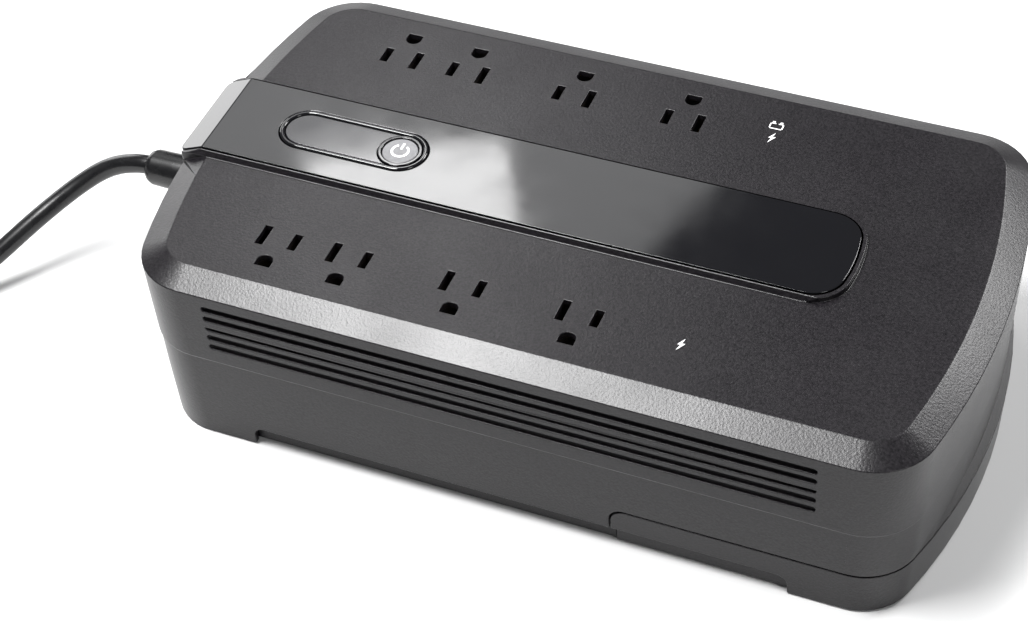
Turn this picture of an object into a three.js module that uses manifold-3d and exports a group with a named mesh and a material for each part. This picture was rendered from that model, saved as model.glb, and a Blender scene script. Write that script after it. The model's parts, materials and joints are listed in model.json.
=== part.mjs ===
// Desktop uninterruptible power supply: a low case with two rows of outlets in its top, a raised
// gloss band with the power button, louvered long sides, a sliding battery door and a mains lead.
// Millimetres, +Z up. The unit frame has X along the case (the lead leaves at -X), Y across it
// (+Y is the back row of outlets) and Z = 0 on the surface that the feet stand on.

import * as THREE from 'three';
import { mergeVertices } from 'three/addons/utils/BufferGeometryUtils.js';
import Module from 'manifold-3d';

const wasm = await Module();
wasm.setup();

// ---------------------------------------------------------------- driving dimensions
// Case
const body_length = 315.6;      // apex to apex at the lower edge of the top chamfer
const body_width = 177;
const top_height = 83;          // the top plane above the floor
const chamfer_run = 10.2;
const chamfer_drop = 4.4;
const end_radius = 300;         // bow of both ends
const corner_radius = 24;
const wall = 2.5;
const top_wall = 2.8;
const wall_lean = 2.6;          // how far the wall leans in from the chamfer to its foot
const skirt_gap = 0.5;          // under the walls, which the rubber feet hold up
const crease_drop = 39.5;       // the crease in the wall, below the top plane
const crease_step = 0.5;
const foot_span = 52;           // length of the wall's corner feet, from each end's apex
const arch_height = 9.5;        // the wall between the feet ends this high
const arch_round = 4.5;
const fit_gap = 0.3;            // between pieces that touch
const seam_gap = 0.6;           // the visible seam round the battery door

// Battery door and its flared end
const door_length = 118.8;      // from the right end's apex to the door's left edge
const door_height = 20.5;
const door_round = 6;
const flare = 3.4;              // how far the end swells outward down at the door's seam
const flare_height = 5;         // height of the swelling's upper slope

// Louver grooves in both long sides
const louver_count = 5;
const louver_pitch = 5;
const louver_height = 2.7;
const louver_depth = 1.6;
const louver_drop = 9.4;        // the first groove's upper edge, below the top plane
const louver_from_left = 40.8;
const louver_from_right = 43.2;

// Outlets
const outlet_from_left = 57.8;  // the first outlet, from the left end's apex
const outlet_places = [0, 28.4, 73.2, 117.8];
const outlet_from_chamfer = 23.3;
const blade_pitch = 12.7;
const slot_width = 3.1;
const long_slot = 9.8;
const short_slot = 8.1;
const ground_offset = 12.2;
const ground_width = 6.1;
const ground_height = 5.5;
const carrier_depth = 10;
const carrier_margin = 12;
const contact_thick = 0.6;
const leaf_drop = 4;

// Raised band
const plinth_half = 23.5;
const plinth_lean = 1.2;
const plinth_rise = 2.2;
const band_from_right = 53.3;   // the plinth's right end, from the right end's apex
const band_round = 14.5;
const band_bow = 1.6;
const band_end_round = 3.4;
const lip_reach = 2.2;          // how far the band's cord end stands out past the case
const rim = 0.65;
const panel_gap = 0.35;
const panel_thick = 1.9;
const panel_rise = 0.4;

// Pill-shaped status window and the power button
const pill_from_left = 32;
const pill_length = 60.5;
const pill_width = 21.6;
const pill_ring = 2;
const pill_rise = 0.6;
const pill_offset = 0.7;
const button_radius = 6.9;
const button_rise = 0.3;
const collar_rise = 0.5;
const button_travel = 1.2;
const button_clearance = 0.25;

// Inside
const tray_floor = 2.5;
const tray_lift = 1;
const tray_wall = 2.2;
const tray_wall_height = 17;
const battery_depth = 94;
const battery_length = 151;
const board_thick = 1.6;
const board_height = 10;
const boss_radius = 3.5;
const boss_from_side = 10;
const screw_radius = 1.6;

// Lead
const cord_diameter = 8;
const cord_height = 46;
const relief_length = 32.5;
const relief_radius = 8;
const relief_tip = 7.4;
const coil_from_exit = [-131.2, -62.2];
const coil_radius = 47.8;       // at the middle of its turns
const coil_spread = 10.8;       // from there to its innermost and outermost turns
const coil_turn_gap = 0.2;
const tie_thick = 0.7;
const plug_length = 36;
const plug_half_width = 13.5;
const plug_half_height = 12.5;

// ---------------------------------------------------------------- derived sizes
const half_length = body_length / 2;
const half_width = body_width / 2;
const corner_y = half_width - corner_radius;
const corner_x = half_length - end_radius
  + Math.sqrt((end_radius - corner_radius) ** 2 - corner_y ** 2);
const chamfer_height = top_height - chamfer_drop;
const crease_height = top_height - crease_drop;
const ceiling = top_height - top_wall;
const door_left = half_length - door_length;
const wall_foot_inset = wall_lean;
const door_seam_inset = wall_lean * 0.73;
const arch_left = -half_length + foot_span;
const arch_right = half_length - foot_span;
const row_y = half_width - chamfer_run - outlet_from_chamfer;
const outlet_xs = outlet_places.map((x) => x - half_length + outlet_from_left);
const carrier_top = ceiling - fit_gap;
const carrier_bottom = carrier_top - carrier_depth;
const tray_inset = wall_foot_inset + wall + 0.4;
const tray_floor_top = tray_lift + tray_floor;
const plinth_top = top_height + plinth_rise;
const panel_top = plinth_top + panel_rise;
const panel_bottom = panel_top - panel_thick;
const band_right = half_length - band_from_right;
const pill_radius = pill_width / 2;
const pill_x = [-half_length + pill_from_left, -half_length + pill_from_left + pill_length];
const button_x = pill_x[1] - pill_radius;
const left_reach = half_length + lip_reach;
const right_reach = half_length - door_seam_inset + flare;
const centre_shift = (left_reach - right_reach) / 2;

// ---------------------------------------------------------------- geometry helpers
function merged(geometry) {
  const bare = geometry.clone();
  for (const name of Object.keys(bare.attributes)) {
    if (name !== 'position') bare.deleteAttribute(name);
  }
  return mergeVertices(bare, 1e-4);
}

function solid(geometry) {
  const whole = merged(geometry);
  return new wasm.Manifold(new wasm.Mesh({
    numProp: 3,
    vertProperties: new Float32Array(whole.attributes.position.array),
    triVerts: new Uint32Array(whole.index.array),
  }));
}

function surface(manifold) {
  const mesh = manifold.getMesh();
  const geometry = new THREE.BufferGeometry();
  geometry.setAttribute('position', new THREE.BufferAttribute(mesh.vertProperties, 3));
  geometry.setIndex(new THREE.BufferAttribute(mesh.triVerts, 1));
  geometry.computeVertexNormals();
  return geometry;
}

const joined = (pieces) => pieces.reduce((whole, piece) => whole.add(piece));
const cut = (whole, pieces) => pieces.reduce((rest, piece) => rest.subtract(piece), whole);

function block(x, y, z) {
  const geometry = new THREE.BoxGeometry(x[1] - x[0], y[1] - y[0], z[1] - z[0]);
  geometry.translate((x[0] + x[1]) / 2, (y[0] + y[1]) / 2, (z[0] + z[1]) / 2);
  return solid(geometry);
}

// A round bar along X, Y or Z from one place to another, centred on the other two coordinates.
function bar(axis, from, to, centre, radius, sides = 16, end_radius_of_bar = radius) {
  const geometry = new THREE.CylinderGeometry(end_radius_of_bar, radius, to - from, sides);
  geometry.translate(0, (from + to) / 2, 0);
  if (axis === 'x') {
    geometry.rotateZ(-Math.PI / 2);
    geometry.translate(0, centre[0], centre[1]);
  } else if (axis === 'y') {
    geometry.translate(centre[0], 0, centre[1]);
  } else {
    geometry.rotateX(Math.PI / 2);
    geometry.translate(centre[0], centre[1], 0);
  }
  return solid(geometry);
}

// A closed body through outlines that all have the same number of points, from the bottom up.
function loft(sections) {
  const count = sections[0].outline.length;
  const position = [];
  const index = [];
  for (const { outline, z } of sections) {
    for (const point of outline) position.push(point.x, point.y, z);
  }
  for (let s = 0; s + 1 < sections.length; s += 1) {
    for (let i = 0; i < count; i += 1) {
      const a = s * count + i;
      const b = s * count + (i + 1) % count;
      index.push(a, b, b + count, a, b + count, a + count);
    }
  }
  const top = (sections.length - 1) * count;
  for (const [i, j, k] of THREE.ShapeUtils.triangulateShape(sections[0].outline, [])) {
    index.push(k, j, i);
  }
  for (const [i, j, k] of THREE.ShapeUtils.triangulateShape(sections.at(-1).outline, [])) {
    index.push(top + i, top + j, top + k);
  }
  const geometry = new THREE.BufferGeometry();
  geometry.setAttribute('position', new THREE.Float32BufferAttribute(position, 3));
  geometry.setIndex(index);
  return solid(geometry);
}

function prism(shape, z, steps = 6) {
  const geometry = new THREE.ExtrudeGeometry(shape, {
    depth: z[1] - z[0], bevelEnabled: false, curveSegments: steps,
  });
  geometry.translate(0, 0, z[0]);
  return solid(geometry);
}

const polygon = (points) => new THREE.Shape(points.map(([x, y]) => new THREE.Vector2(x, y)));

// A shape drawn in X and Z, extruded across Y.
function across(shape, y, steps = 4) {
  const geometry = new THREE.ExtrudeGeometry(shape, {
    depth: y[1] - y[0], bevelEnabled: false, curveSegments: steps,
  });
  geometry.rotateX(Math.PI / 2);
  geometry.translate(0, y[1], 0);
  return solid(geometry);
}

function rounded(half_x, half_y, radius, x = 0, y = 0) {
  const shape = new THREE.Shape();
  shape.absarc(x + half_x - radius, y - half_y + radius, radius, -Math.PI / 2, 0);
  shape.absarc(x + half_x - radius, y + half_y - radius, radius, 0, Math.PI / 2);
  shape.absarc(x - half_x + radius, y + half_y - radius, radius, Math.PI / 2, Math.PI);
  shape.absarc(x - half_x + radius, y - half_y + radius, radius, Math.PI, 1.5 * Math.PI);
  shape.closePath();
  return shape;
}

const pill = (inset) => rounded(
  pill_length / 2 - inset,
  pill_radius - inset,
  pill_radius - inset - 0.001,
  (pill_x[0] + pill_x[1]) / 2,
  pill_offset,
);

function tube(points, radius, sides, steps) {
  const section = new THREE.Shape();
  for (let i = 0; i < sides; i += 1) {
    const a = (2 * Math.PI * i) / sides;
    section[i ? 'lineTo' : 'moveTo'](radius * Math.cos(a), radius * Math.sin(a));
  }
  section.closePath();
  const path = new THREE.CatmullRomCurve3(points.map((p) => new THREE.Vector3(...p)));
  return new THREE.ExtrudeGeometry(section, { steps, extrudePath: path, bevelEnabled: false });
}

// ---------------------------------------------------------------- the case's outline
// Plan outline of the case, moved inward by inset. swell pushes the right end's apex outward
// while that end's corners stay where they are.
function plan(inset, swell = 0, corner_steps = 9, end_steps = 12) {
  const radius = corner_radius - inset;
  const right_half = [];
  const nose = half_length - inset + swell;
  const reach = nose - corner_x;
  const bow = (reach ** 2 + corner_y ** 2 - radius ** 2) / (2 * (reach - radius));
  const spread = Math.atan2(corner_y, corner_x - nose + bow);
  for (let i = 0; i <= corner_steps; i += 1) {
    const a = -Math.PI / 2 + ((Math.PI / 2 - spread) * i) / corner_steps;
    right_half.push(new THREE.Vector2(
      corner_x + radius * Math.cos(a),
      -corner_y + radius * Math.sin(a),
    ));
  }
  for (let i = 1; i < end_steps; i += 1) {
    const a = -spread + (2 * spread * i) / end_steps;
    right_half.push(new THREE.Vector2(nose - bow + bow * Math.cos(a), bow * Math.sin(a)));
  }
  for (let i = corner_steps; i >= 0; i -= 1) {
    right_half.push(new THREE.Vector2(right_half[i].x, -right_half[i].y));
  }
  return right_half;
}

function case_outline(inset, swell = 0) {
  const right_half = plan(inset, swell);
  const left_half = plan(inset).map((p) => new THREE.Vector2(-p.x, -p.y));
  return [...right_half, ...left_half];
}

// The case's outer surface and, with a wall, the surface inside it.
function case_solid(inward, top) {
  const lid = Math.min(inward, 1);
  return loft([
    { z: inward ? -5 : skirt_gap, outline: case_outline(wall_foot_inset + inward, flare) },
    { z: door_height, outline: case_outline(door_seam_inset + inward, flare) },
    { z: door_height + flare_height, outline: case_outline(door_seam_inset - 0.15 + inward, 0.5) },
    { z: crease_height, outline: case_outline(wall_lean * 0.54 + inward) },
    { z: crease_height + 0.6, outline: case_outline(wall_lean * 0.54 - crease_step + inward) },
    { z: chamfer_height - lid, outline: case_outline(inward) },
    { z: top, outline: case_outline(chamfer_run + inward * 0.6) },
  ]);
}

// ---------------------------------------------------------------- the raised band
// The band runs from the cord end, where it bends down over the chamfer, to a bowed right end.
function band(inset, left, top, bottom) {
  const half = plinth_half - inset;
  const right = band_right - inset;
  const bend = -half_length + chamfer_run - 2;
  const radius = band_round - inset;
  const corner_x_of_band = right - band_bow - radius;
  const tip = 0.15;
  const outline = new THREE.Shape();
  outline.moveTo(left + band_end_round, -half);
  outline.lineTo(corner_x_of_band, -half);
  outline.absarc(corner_x_of_band, -half + radius, radius, -Math.PI / 2, -tip);
  outline.quadraticCurveTo(
    right, 0, corner_x_of_band + radius * Math.cos(tip), half - radius + radius * Math.sin(tip),
  );
  outline.absarc(corner_x_of_band, half - radius, radius, tip, Math.PI / 2);
  outline.lineTo(left + band_end_round, half);
  outline.absarc(left + band_end_round, half - band_end_round, band_end_round,
    Math.PI / 2, Math.PI);
  outline.absarc(left + band_end_round, -half + band_end_round, band_end_round,
    Math.PI, 1.5 * Math.PI);
  const drop = ((bend - left + 1) * chamfer_drop) / chamfer_run;
  const profile = across(polygon([
    [left - 1, bottom - drop],
    [bend, bottom],
    [right + 1, bottom],
    [right + 1, top],
    [bend, top],
    [left - 1, top - drop],
  ]), [-half - 1, half + 1]);
  return prism(outline, [bottom - 20, top + 5], 5).intersect(profile);
}

// A long bar along X with a section drawn in Y and Z.
function along(points, x) {
  const geometry = new THREE.ExtrudeGeometry(polygon(points), {
    depth: x[1] - x[0], bevelEnabled: false,
  });
  geometry.rotateX(Math.PI / 2);
  geometry.rotateZ(Math.PI / 2);
  geometry.translate(x[0], 0, 0);
  return solid(geometry);
}

function plinth() {
  const slab = band(0, -left_reach + 0.8, plinth_top, top_height - 1.4);
  const wedge_rise = 2 * plinth_rise;
  const wedge_half = plinth_half - 2 * plinth_lean;
  return slab.intersect(along([
    [-plinth_half, top_height - 30],
    [plinth_half, top_height - 30],
    [plinth_half, top_height],
    [wedge_half, top_height + wedge_rise],
    [-wedge_half, top_height + wedge_rise],
    [-plinth_half, top_height],
  ], [-body_length, body_length]));
}

// ---------------------------------------------------------------- cover
// The battery door's side view, grown or shrunk by its seam.
function door_side(grow) {
  const left = door_left - grow;
  const top = door_height + grow;
  const shape = new THREE.Shape();
  shape.moveTo(left, -10);
  shape.lineTo(body_length, -10);
  shape.lineTo(body_length, top);
  shape.lineTo(left + door_round, top);
  shape.absarc(left + door_round, top - door_round, door_round, Math.PI / 2, Math.PI);
  shape.closePath();
  return across(shape, [-body_width, body_width]);
}

function arch() {
  const shape = new THREE.Shape();
  shape.moveTo(arch_left, -10);
  shape.lineTo(arch_right, -10);
  shape.lineTo(arch_right, arch_height - arch_round);
  shape.absarc(arch_right - arch_round, arch_height - arch_round, arch_round, 0, Math.PI / 2);
  shape.absarc(arch_left + arch_round, arch_height - arch_round, arch_round,
    Math.PI / 2, Math.PI);
  shape.closePath();
  return across(shape, [-body_width, body_width]);
}

function louvers() {
  const middle = (louver_from_left - louver_from_right) / 2;
  const half = half_length - (louver_from_left + louver_from_right) / 2;
  const inner = half_width - louver_depth - crease_step;
  const grooves = [];
  for (let i = 0; i < louver_count; i += 1) {
    const z = top_height - louver_drop - louver_height / 2 - i * louver_pitch;
    const shape = rounded(half, louver_height / 2, louver_height / 2 - 0.001, middle, z);
    grooves.push(across(shape, [-half_width - 1, -inner], 3));
    grooves.push(across(shape, [inner, half_width + 1], 3));
  }
  return grooves;
}

// side is -1 for the front row and +1 for the back row, whose outlets are turned round.
function ground_shape(x, side, grow = 0) {
  const radius = ground_width / 2 + grow;
  const y = side * (row_y + ground_offset);
  const flat = y + side * (ground_height / 2 + grow);
  const bend = y + side * (ground_height / 2 - ground_height + ground_width / 2);
  const shape = new THREE.Shape();
  const [from, to] = side < 0 ? [0, Math.PI] : [Math.PI, 2 * Math.PI];
  shape.absarc(x, bend, radius, from, to);
  shape.lineTo(x + side * radius, flat);
  shape.lineTo(x - side * radius, flat);
  return shape;
}

function blade_slots(x, side, z, grow = 0) {
  return [[long_slot, side * blade_pitch * 0.5], [short_slot, -side * blade_pitch * 0.5]].map(
    ([length, shift]) => block(
      [x + shift - slot_width / 2 - grow, x + shift + slot_width / 2 + grow],
      [side * row_y - length / 2 - grow, side * row_y + length / 2 + grow],
      z,
    ),
  );
}

function outlet_holes(z, grow = 0) {
  return [-1, 1].flatMap((side) => outlet_xs.flatMap((x) => [
    ...blade_slots(x, side, z, grow),
    prism(ground_shape(x, side, grow), z, 8),
  ]));
}

// Recessed panels in the cord end: one for the data and phone jacks, one for the breaker.
const pods = [
  { y: [13, 63], z: [27, 52], face: -half_length + 8.3 },
  { y: [-51, -25], z: [29, 54], face: -half_length + 6.6 },
];
const pod_frame = 1.6;
const pod_plate = 2;
const jacks = [
  { name: 'data_port', y: 24, width: 15.2, mouth: [11.8, 7], tab: 4 },
  { name: 'phone_port_in', y: 41.4, width: 13.2, mouth: [9.8, 6.8], tab: 4 },
  { name: 'phone_port_out', y: 55.4, width: 13.2, mouth: [9.8, 6.8], tab: 4 },
];
const jack_height = 13;
const jack_depth = 15;
const jack_z = (pods[0].z[0] + pods[0].z[1]) / 2;
const breaker_y = (pods[1].y[0] + pods[1].y[1]) / 2;
const breaker_z = (pods[1].z[0] + pods[1].z[1]) / 2;
const breaker_radius = 6;
const breaker_button_radius = 3.6;
const relief_neck = 5.2;

const boss_places = [-1, 1].flatMap((side) => [
  [-half_length + 33, side * (half_width - boss_from_side)],
  [door_left - 6, side * (half_width - boss_from_side)],
]);
const boss_foot = tray_wall_height + tray_lift + fit_gap;

function top_cover() {
  const outer = case_solid(0, top_height);
  const shell = outer.subtract(case_solid(wall, ceiling));
  const frames = pods.map(({ y, z, face }) => block([-body_length, face + pod_plate], y, z)
    .intersect(outer));
  const bosses = boss_places.map((place) => bar('z', boss_foot, ceiling + 1, place, boss_radius, 12));
  const hollows = pods.map(({ y, z, face }) => block(
    [-body_length, face],
    [y[0] + pod_frame, y[1] - pod_frame],
    [z[0] + pod_frame, z[1] - pod_frame],
  ));
  const windows = jacks.map(({ y, width }) => block(
    [-body_length, -half_length + 20],
    [y - width / 2 - fit_gap, y + width / 2 + fit_gap],
    [jack_z - jack_height / 2 - fit_gap, jack_z + jack_height / 2 + fit_gap],
  ));
  return cut(joined([shell, plinth(), ...frames, ...bosses]), [
    ...hollows,
    ...windows,
    bar('x', -body_length, pods[1].face + 5, [breaker_y, breaker_z], breaker_radius + fit_gap, 20),
    bar('x', -body_length, -half_length + 9, [0, cord_height], relief_neck + fit_gap, 20),
    ...boss_places.map((place) => bar('z', 0, boss_foot + 12, place, screw_radius + fit_gap, 10)),
    band(plinth_lean + rim, -left_reach - 2, plinth_top + 5, panel_bottom - fit_gap),
    control_well(ceiling - 2, plinth_top, fit_gap),
    ...louvers(),
    ...outlet_holes([ceiling - 1, top_height + 1]),
    arch(),
    door_side(seam_gap / 2),
  ]);
}

// The opening under the status window and button, through the cover's top.
function control_well(bottom, top, grow = 0) {
  return prism(pill(pill_ring + 1.4 - grow), [bottom, top], 8);
}

// ---------------------------------------------------------------- base tray and battery door
function ring_wall(inset, thick, z, swell = 0) {
  return prism(new THREE.Shape(case_outline(inset, swell)), z)
    .subtract(prism(new THREE.Shape(case_outline(inset + thick, swell)), [z[0] - 1, z[1] + 1]));
}

const door_skirt = arch_height + 0.6;
const rail_z = [door_skirt + 1.2, door_skirt + 3.6];
const rail_depth = 1.3;
const rail_y = half_width - tray_inset;
const partition_x = [door_left - 0.8, door_left + 1.4];
const battery_left = partition_x[1] + 2.8;
const battery_floor = tray_floor_top + 0.8;
const battery_top = carrier_bottom - contact_thick - 1.6;
const keyhole = { xs: [-half_length + 50, door_left - 24], head: 4.2, shank: 2.1, length: 9 };

function base_tray() {
  const side = ring_wall(tray_inset, tray_wall, [tray_lift, tray_lift + tray_wall_height]);
  const plate = prism(new THREE.Shape(case_outline(tray_inset)), [tray_lift, tray_floor_top])
    .subtract(block([partition_x[1], body_length], [-body_width, body_width], [-5, 50]));
  const partition = block(
    partition_x,
    [-rail_y + 0.5, rail_y - 0.5],
    [tray_lift, tray_lift + tray_wall_height],
  );
  const foot_bosses = boss_places.map((place) => bar(
    'z', tray_lift, boss_foot - fit_gap, place, boss_radius + 0.7, 12,
  ));
  const standoffs = board_posts.map((place) => bar(
    'z', tray_lift, board_height - fit_gap, place, 3, 10,
  ));
  const under_door = block(
    [partition_x[1] + 0.01, body_length],
    [-body_width, body_width],
    [-5, door_skirt + fit_gap],
  );
  const grooves = [-1, 1].map((way) => block(
    [partition_x[1] + 1, body_length],
    way < 0 ? [-body_width, -rail_y + rail_depth + 0.2] : [rail_y - rail_depth - 0.2, body_width],
    [rail_z[0] - fit_gap, rail_z[1] + fit_gap],
  ));
  const keyholes = keyhole.xs.flatMap((x) => [
    bar('z', -1, tray_floor_top + 1, [x, 0], keyhole.head, 16),
    block(
      [x, x + keyhole.length],
      [-keyhole.shank, keyhole.shank],
      [-1, tray_floor_top + 1],
    ),
  ]);
  const vents = [-2, -1, 0, 1, 2].flatMap((i) => [-1, 1].map((way) => block(
    [-half_length + 62 + i * 6 - 1.5, -half_length + 62 + i * 6 + 1.5],
    way < 0 ? [-46, -16] : [16, 46],
    [-1, tray_floor_top + 1],
  )));
  return cut(joined([side, plate, partition, ...foot_bosses, ...standoffs]), [
    under_door,
    ...grooves,
    ...keyholes,
    ...vents,
    ...boss_places.map((place) => bar('z', -1, boss_foot + 1, place, screw_radius + fit_gap, 10)),
    ...boss_places.map((place) => bar('z', -1, tray_lift + 2.2, place, screw_radius + 1.9, 12)),
    ...foot_pads.slice(0, 2).map(([x, y]) => bar('z', -1, pad_seat, [x, y], pad_radius + fit_gap)),
  ]);
}

const pad_radius = 6;
const pad_height = 1.8;
const pad_seat = pad_height + 0.2;
const pad_y = half_width - 34;
const end_bow = end_radius - Math.sqrt(end_radius ** 2 - pad_y ** 2);
const foot_pads = [
  [-half_length + end_bow + 13, -pad_y],
  [-half_length + end_bow + 13, pad_y],
  [half_length - end_bow - 15, -pad_y],
  [half_length - end_bow - 15, pad_y],
];

function battery_door() {
  const skin = case_solid(0, top_height).subtract(case_solid(wall, ceiling))
    .intersect(door_side(-seam_gap / 2)).subtract(arch());
  const skirt_inset = wall_foot_inset + wall - 0.4;
  const left_of_door = block(
    [-body_length, partition_x[1] + fit_gap],
    [-body_width, body_width],
    [-5, top_height],
  );
  const plate = prism(
    new THREE.Shape(case_outline(skirt_inset, flare)),
    [tray_lift, tray_floor_top - fit_gap],
  ).subtract(left_of_door);
  const skirt = ring_wall(skirt_inset, tray_wall, [tray_lift, door_skirt], flare)
    .subtract(left_of_door);
  const rails = [-1, 1].map((way) => block(
    [door_left + 14, door_left + 78],
    way < 0 ? [-rail_y - 1.6, -rail_y + rail_depth] : [rail_y - rail_depth, rail_y + 1.6],
    rail_z,
  ));
  const grip = [0, 1, 2, 3].map((i) => block(
    [half_length - 54 + i * 4, half_length - 52 + i * 4],
    [-22, 22],
    [-1, tray_lift + 0.8],
  ));
  return cut(joined([skin, plate, skirt, ...rails]), [
    ...grip,
    ...foot_pads.slice(2).map(([x, y]) => bar('z', -1, pad_seat, [x, y], pad_radius + fit_gap)),
  ]);
}

// ---------------------------------------------------------------- band pieces
function gloss_panel() {
  const hole = prism(pill(-fit_gap), [panel_bottom - 30, panel_top + 5], 8);
  return band(plinth_lean + rim + panel_gap, -left_reach, panel_top, panel_bottom).subtract(hole);
}

const window_bottom = panel_bottom;
const collar_outer = pill_radius - pill_ring - fit_gap;
const button_place = [button_x, pill_offset];
const switch_top = top_height - 8.4;
const stem_bottom = switch_top + button_travel + 0.3;
const control_z = [top_height - 11.9, top_height - 10.3];

const status_bezel = () => prism(pill(0), [window_bottom, panel_top + pill_rise], 8)
  .subtract(prism(pill(pill_ring), [0, body_width], 8));

const status_window = () => prism(pill(pill_ring + fit_gap), [window_bottom, panel_top], 8)
  .subtract(bar('z', 0, body_width, button_place, collar_outer + fit_gap, 32));

const button_collar = () => bar(
  'z', window_bottom, panel_top + collar_rise, button_place, collar_outer, 32,
).subtract(bar('z', 0, body_width, button_place, button_radius + button_clearance, 32));

const power_button = () => joined([
  bar('z', window_bottom - 1, panel_top + button_rise, button_place, button_radius, 32),
  bar('z', stem_bottom, window_bottom, button_place, 2.5, 12),
]);

// ---------------------------------------------------------------- outlets
function outlet_carrier(side) {
  const x = [outlet_xs[0] - carrier_margin, outlet_xs.at(-1) + carrier_margin];
  const inner = row_y - 9;
  const outer = row_y + ground_offset + ground_height / 2 + 2.6;
  const y = side < 0 ? [-outer, -inner] : [inner, outer];
  return cut(block(x, y, [carrier_bottom, carrier_top]),
    outlet_holes([carrier_bottom - 1, carrier_top + 1], 1));
}

// A bus strip under one carrier, with a pair of upright leaves for every outlet on it.
function contact_bus(side, kind) {
  const strip_z = [carrier_bottom - fit_gap - contact_thick, carrier_bottom - fit_gap];
  const facts = {
    neutral: { shift: side * blade_pitch * 0.5, leaf: [-3, 5.4], strip: [4.6, 6.4], half: 0.95 },
    hot: { shift: -side * blade_pitch * 0.5, leaf: [-4.7, 3], strip: [-6.2, -4.2], half: 0.95 },
    ground: {
      shift: 0,
      leaf: [ground_offset - 1.6, ground_offset + 2.7],
      strip: [ground_offset + 2.6, ground_offset + 4.4],
      half: 2.55,
    },
  }[kind];
  const to_y = ([a, b]) => (side < 0 ? [-row_y - b, -row_y - a] : [row_y + a, row_y + b]);
  const places = outlet_xs.map((x) => x + facts.shift);
  const strip = block([places[0] - 4, places.at(-1) + 4], to_y(facts.strip), strip_z);
  const leaves = places.flatMap((x) => [-1, 1].map((way) => block(
    way < 0 ? [x - facts.half - contact_thick, x - facts.half]
      : [x + facts.half, x + facts.half + contact_thick],
    to_y(facts.leaf),
    [strip_z[0], carrier_top - leaf_drop],
  )));
  return joined([strip, ...leaves]);
}

// ---------------------------------------------------------------- sockets on the cord end
function jack(fact) {
  const face = pods[0].face;
  const [mouth_width, mouth_height] = fact.mouth;
  const housing = block(
    [face, face + jack_depth],
    [fact.y - fact.width / 2, fact.y + fact.width / 2],
    [jack_z - jack_height / 2, jack_z + jack_height / 2],
  );
  return cut(housing, [
    block(
      [face - 1, face + jack_depth - 2],
      [fact.y - mouth_width / 2, fact.y + mouth_width / 2],
      [jack_z - mouth_height / 2, jack_z + mouth_height / 2],
    ),
    block(
      [face - 1, face + jack_depth - 5],
      [fact.y - fact.tab / 2, fact.y + fact.tab / 2],
      [jack_z - mouth_height / 2 - 2, jack_z],
    ),
  ]);
}

const breaker_face = pods[1].face;
const breaker_body = () => joined([
  bar('x', breaker_face - 2.4, breaker_face - fit_gap, [breaker_y, breaker_z], 8, 24),
  bar('x', breaker_face - 0.5, breaker_face + 18, [breaker_y, breaker_z], breaker_radius, 20),
]).subtract(bar(
  'x', breaker_face - 5, breaker_face + 14, [breaker_y, breaker_z],
  breaker_button_radius + button_clearance, 20,
));
const breaker_button = () => bar(
  'x', breaker_face - 5, breaker_face + 12, [breaker_y, breaker_z], breaker_button_radius, 20,
);

// ---------------------------------------------------------------- inside
const core_x = [-half_length + 30, -half_length + 92];
const core_y = 18;
const core_z = [tray_floor_top + fit_gap, tray_floor_top + 52];
const leg_half = 10;
const core_window = 10.5;
const core_yoke = 10;
const core_middle = (core_x[0] + core_x[1]) / 2;
const board_x = [core_x[1] + 4, door_left - 5];
const board_y = half_width - 18.5;
const board_top = board_height + board_thick;
const board_posts = [-1, 1].flatMap((side) => [
  [board_x[0] + 6, side * (board_y - 8)],
  [board_x[1] - 8, side * (board_y - 8)],
]);

function transformer_core() {
  const windows = [-1, 1].map((way) => block(
    way < 0 ? [core_middle - leg_half - core_window, core_middle - leg_half]
      : [core_middle + leg_half, core_middle + leg_half + core_window],
    [-body_width, body_width],
    [core_z[0] + core_yoke, core_z[1] - core_yoke],
  ));
  return cut(block(core_x, [-core_y, core_y], core_z), windows);
}

function transformer_winding() {
  const reach = core_window - fit_gap;
  const z = [core_z[0] + core_yoke + fit_gap, core_z[1] - core_yoke - fit_gap];
  return prism(rounded(leg_half + reach, core_y + reach, 4, core_middle), z, 4).subtract(prism(
    rounded(leg_half + fit_gap, core_y + fit_gap, 0.5, core_middle),
    [z[0] - 1, z[1] + 1],
    2,
  ));
}

function heat_sink() {
  const x = [board_x[0] + 14, board_x[0] + 74];
  const y = board_y - 34;
  const z = [board_top + fit_gap, board_top + 36];
  const fins = [0, 1, 2, 3, 4, 5, 6].map((i) => block(
    [x[0] + 1 + i * 9.3, x[0] + 2.6 + i * 9.3],
    [y + 2, y + 14],
    z,
  ));
  return joined([block(x, [y - 1, y + 3], z), ...fins]);
}

function toroid(place, radius, thick) {
  const geometry = new THREE.TorusGeometry(radius, thick, 8, 18);
  geometry.translate(place[0], place[1], board_top + fit_gap + thick);
  return solid(geometry);
}

const battery_y = battery_length / 2;
function battery() {
  const x = [battery_left, battery_left + battery_depth];
  const lid = block(
    [x[0] - 0.01, x[0] + 8],
    [-battery_y - 1, battery_y + 1],
    [battery_floor - 1, battery_top + 1],
  ).subtract(block(
    [x[0] - 1, x[0] + 9],
    [-battery_y + 1, battery_y - 1],
    [battery_floor + 1, battery_top - 1],
  ));
  return block(x, [-battery_y, battery_y], [battery_floor, battery_top]).subtract(lid);
}

const terminal_places = [-1, 1].map((side) => [side * (battery_y - 12), battery_top - 14]);
const battery_terminal = ([y, z]) => block(
  [battery_left - fit_gap - 6.5, battery_left - fit_gap],
  [y - 0.4, y + 0.4],
  [z - 3.2, z + 3.2],
);

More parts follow.
